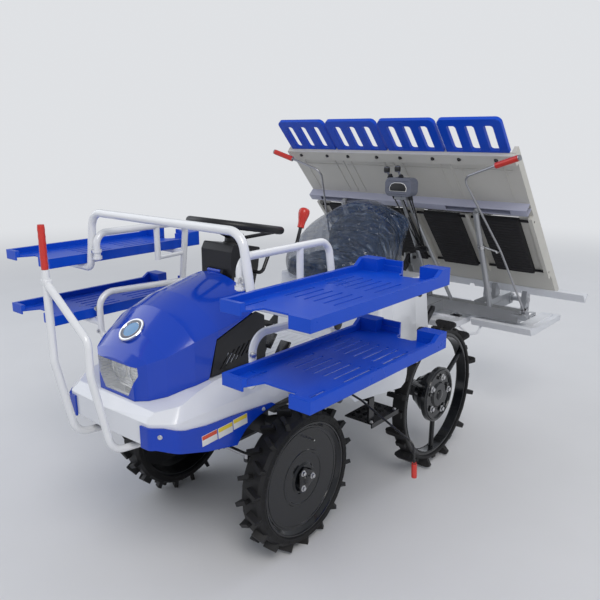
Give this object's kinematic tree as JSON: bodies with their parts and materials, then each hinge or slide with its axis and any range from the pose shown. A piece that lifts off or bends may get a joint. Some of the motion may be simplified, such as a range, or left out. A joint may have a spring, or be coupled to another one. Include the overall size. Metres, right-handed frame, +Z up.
{
  "type": "riding rice transplanter",
  "caption": "Riding rice transplanter with lugged wheels, spare seedling racks, a rear lift linkage, a sliding seedling table and rotary planting arms over floats.",
  "frame": {"origin": "on the ground under the middle of the machine's length and width", "axes": "-Y is the front of the machine, +X its left, +Z up"},
  "size_m": [1.528, 2.538, 1.5308],
  "materials": {
    "bumper_strips": "gloss",
    "centre_marker": "gloss",
    "control_box": "satin",
    "engine": "satin",
    "engine_cowl": "matte",
    "extension_racks": "satin",
    "feed_belts": "matte",
    "floats": "satin",
    "floor_deck": "satin",
    "front_axle_case": "satin",
    "front_disc_left": "satin",
    "front_disc_right": "satin",
    "front_handles": "gloss",
    "front_tyre_left": "matte",
    "front_tyre_right": "matte",
    "gate_rail": "satin",
    "gear_lever": "satin",
    "guard_hoop": "gloss",
    "headlamp": "gloss",
    "hood": "gloss",
    "knuckle_left": "satin",
    "knuckle_right": "satin",
    "lever_knob": "gloss",
    "lift_barrel": "satin",
    "lift_rod": "polished",
    "lower_cowl": "gloss",
    "lower_links": "satin",
    "main_frame": "satin",
    "marker_arm_left": "satin",
    "marker_arm_right": "satin",
    "planter_frame": "satin",
    "planting_arms_left_a": "satin",
    "planting_arms_left_b": "satin",
    "planting_arms_right_a": "satin",
    "planting_arms_right_b": "satin",
    "planting_cases": "satin",
    "rack_frames": "gloss",
    "rear_axle_case": "satin",
    "rear_rim_left": "satin",
    "rear_rim_right": "satin",
    "rear_tread_left": "matte",
    "rear_tread_right": "matte",
    "rotors_left": "satin",
    "rotors_right": "satin",
    "seat_back": "satin",
    "seat_base": "gloss",
    "seat_cushion": "satin",
    "seedling_table": "satin",
    "side_markers": "satin",
    "spare_trays": "satin",
    "steering_column": "matte",
    "steering_wheel": "matte",
    "tie_rod": "satin",
    "upper_link": "satin"
  },
  "bodies": {
    "chassis": {"main_frame": "main_frame", "front_axle_case": "front_axle_case", "rear_axle_case": "rear_axle_case", "engine": "engine", "lower_cowl": "lower_cowl", "bumper_strips": "bumper_strips", "engine_cowl": "engine_cowl", "steering_column": "steering_column", "gear_lever": "gear_lever", "lever_knob": "lever_knob", "floor_deck": "floor_deck", "seat_base": "seat_base", "seat_cushion": "seat_cushion", "seat_back": "seat_back", "guard_hoop": "guard_hoop", "rack_frames": "rack_frames", "spare_trays": "spare_trays", "front_handles": "front_handles", "centre_marker": "centre_marker", "side_markers": "side_markers"},
    "hood": {"hood": "hood", "headlamp": "headlamp"},
    "steering_wheel": {"steering_wheel": "steering_wheel"},
    "knuckle_left": {"knuckle_left": "knuckle_left"},
    "knuckle_right": {"knuckle_right": "knuckle_right"},
    "tie_rod": {"tie_rod": "tie_rod"},
    "front_wheel_left": {"front_disc_left": "front_disc_left", "front_tyre_left": "front_tyre_left"},
    "front_wheel_right": {"front_disc_right": "front_disc_right", "front_tyre_right": "front_tyre_right"},
    "rear_wheel_left": {"rear_rim_left": "rear_rim_left", "rear_tread_left": "rear_tread_left"},
    "rear_wheel_right": {"rear_rim_right": "rear_rim_right", "rear_tread_right": "rear_tread_right"},
    "lower_links": {"lower_links": "lower_links"},
    "upper_link": {"upper_link": "upper_link"},
    "lift_barrel": {"lift_barrel": "lift_barrel"},
    "lift_rod": {"lift_rod": "lift_rod"},
    "planter": {"planter_frame": "planter_frame", "planting_cases": "planting_cases", "gate_rail": "gate_rail", "floats": "floats", "control_box": "control_box"},
    "table": {"seedling_table": "seedling_table", "feed_belts": "feed_belts", "extension_racks": "extension_racks"},
    "marker_left": {"marker_arm_left": "marker_arm_left"},
    "marker_right": {"marker_arm_right": "marker_arm_right"},
    "rotors_left": {"rotors_left": "rotors_left"},
    "rotors_right": {"rotors_right": "rotors_right"},
    "arms_left_a": {"planting_arms_left_a": "planting_arms_left_a"},
    "arms_left_b": {"planting_arms_left_b": "planting_arms_left_b"},
    "arms_right_a": {"planting_arms_right_a": "planting_arms_right_a"},
    "arms_right_b": {"planting_arms_right_b": "planting_arms_right_b"}
  },
  "joints": [
    {"name": "hood_hinge", "type": "hinge", "parent": "chassis", "child": "hood", "pos_m": [0, -0.669, 0.988], "axis": [-1, 0, 0], "range_deg": [0, 40]},
    {"name": "steer_left", "type": "hinge", "parent": "chassis", "child": "knuckle_left", "pos_m": [0.235, -0.605, 0.42], "axis": [0, 0, 1], "range_deg": [-35, 35]},
    {"name": "steer_right", "type": "hinge", "parent": "chassis", "child": "knuckle_right", "pos_m": [-0.235, -0.605, 0.42], "axis": [0, 0, 1], "range_deg": [-35, 35]},
    {"name": "steering_wheel_turn", "type": "hinge", "parent": "chassis", "child": "steering_wheel", "pos_m": [0, -0.56, 1.14], "axis": [0, 0.1822, 0.9833], "range_deg": [-350, 350]},
    {"name": "tie_rod_pivot", "type": "hinge", "parent": "knuckle_left", "child": "tie_rod", "pos_m": [0.235, -0.755, 0.373], "axis": [0, 0, 1], "range_deg": [-35, 35]},
    {"name": "front_wheel_left_spin", "type": "hinge", "parent": "knuckle_left", "child": "front_wheel_left", "pos_m": [0.335, -0.605, 0.268], "axis": [1, 0, 0], "continuous": true},
    {"name": "front_wheel_right_spin", "type": "hinge", "parent": "knuckle_right", "child": "front_wheel_right", "pos_m": [-0.335, -0.605, 0.268], "axis": [1, 0, 0], "continuous": true},
    {"name": "rear_wheel_left_spin", "type": "hinge", "parent": "chassis", "child": "rear_wheel_left", "pos_m": [0.4, 0.26, 0.332], "axis": [1, 0, 0], "continuous": true},
    {"name": "rear_wheel_right_spin", "type": "hinge", "parent": "chassis", "child": "rear_wheel_right", "pos_m": [-0.4, 0.26, 0.332], "axis": [1, 0, 0], "continuous": true},
    {"name": "lift", "type": "hinge", "parent": "chassis", "child": "lower_links", "pos_m": [0, 0.38, 0.3], "axis": [1, 0, 0], "range_deg": [-70, 0]},
    {"name": "unit_level", "type": "hinge", "parent": "lower_links", "child": "planter", "pos_m": [0, 0.7, 0.588], "axis": [1, 0, 0], "range_deg": [0, 70]},
    {"name": "upper_link_pivot", "type": "hinge", "parent": "chassis", "child": "upper_link", "pos_m": [0, 0.36, 0.56], "axis": [1, 0, 0], "range_deg": [-70, 0]},
    {"name": "lift_barrel_pivot", "type": "hinge", "parent": "chassis", "child": "lift_barrel", "pos_m": [0, 0.23, 0.495], "axis": [1, 0, 0], "range_deg": [-32.2, 0]},
    {"name": "lift_rod_slide", "type": "slide", "parent": "lift_barrel", "child": "lift_rod", "axis": [0, 0.9867, -0.1623], "range_m": [0, 0.1377]},
    {"name": "table_slide", "type": "slide", "parent": "planter", "child": "table", "axis": [1, 0, 0], "range_m": [-0.14, 0.14]},
    {"name": "marker_left_fold", "type": "hinge", "parent": "planter", "child": "marker_left", "pos_m": [0.56, 0.85, 0.6], "axis": [0, 0.8526, 0.5225], "range_deg": [0, 100]},
    {"name": "marker_right_fold", "type": "hinge", "parent": "planter", "child": "marker_right", "pos_m": [-0.56, 0.85, 0.6], "axis": [0, -0.8526, -0.5225], "range_deg": [0, 100]},
    {"name": "planting_drive", "type": "hinge", "parent": "planter", "child": "rotors_left", "pos_m": [0.3, 1.235, 0.578], "axis": [1, 0, 0], "continuous": true},
    {"name": "planting_drive_right", "type": "hinge", "parent": "planter", "child": "rotors_right", "pos_m": [-0.3, 1.235, 0.578], "axis": [1, 0, 0], "continuous": true},
    {"name": "arms_left_a_turn", "type": "hinge", "parent": "rotors_left", "child": "arms_left_a", "pos_m": [0.3, 1.235, 0.664], "axis": [1, 0, 0], "continuous": true},
    {"name": "arms_left_b_turn", "type": "hinge", "parent": "rotors_left", "child": "arms_left_b", "pos_m": [0.3, 1.235, 0.492], "axis": [1, 0, 0], "continuous": true},
    {"name": "arms_right_a_turn", "type": "hinge", "parent": "rotors_right", "child": "arms_right_a", "pos_m": [-0.3, 1.235, 0.664], "axis": [1, 0, 0], "continuous": true},
    {"name": "arms_right_b_turn", "type": "hinge", "parent": "rotors_right", "child": "arms_right_b", "pos_m": [-0.3, 1.235, 0.492], "axis": [1, 0, 0], "continuous": true}
  ],
  "couplings": [
    {"joint": "steer_right", "follows": "steer_left", "ratio": 1},
    {"joint": "steering_wheel_turn", "follows": "steer_left", "ratio": 10},
    {"joint": "tie_rod_pivot", "follows": "steer_left", "ratio": -1},
    {"joint": "unit_level", "follows": "lift", "ratio": -1},
    {"joint": "upper_link_pivot", "follows": "lift", "ratio": 1},
    {"joint": "lift_barrel_pivot", "follows": "lift", "ratio": 0.4529},
    {"joint": "lift_rod_slide", "follows": "lift", "m_per_rad": -0.11191},
    {"joint": "planting_drive_right", "follows": "planting_drive", "ratio": 1},
    {"joint": "arms_left_a_turn", "follows": "planting_drive", "ratio": -1},
    {"joint": "arms_left_b_turn", "follows": "planting_drive", "ratio": -1},
    {"joint": "arms_right_a_turn", "follows": "planting_drive", "ratio": -1},
    {"joint": "arms_right_b_turn", "follows": "planting_drive", "ratio": -1}
  ]
}
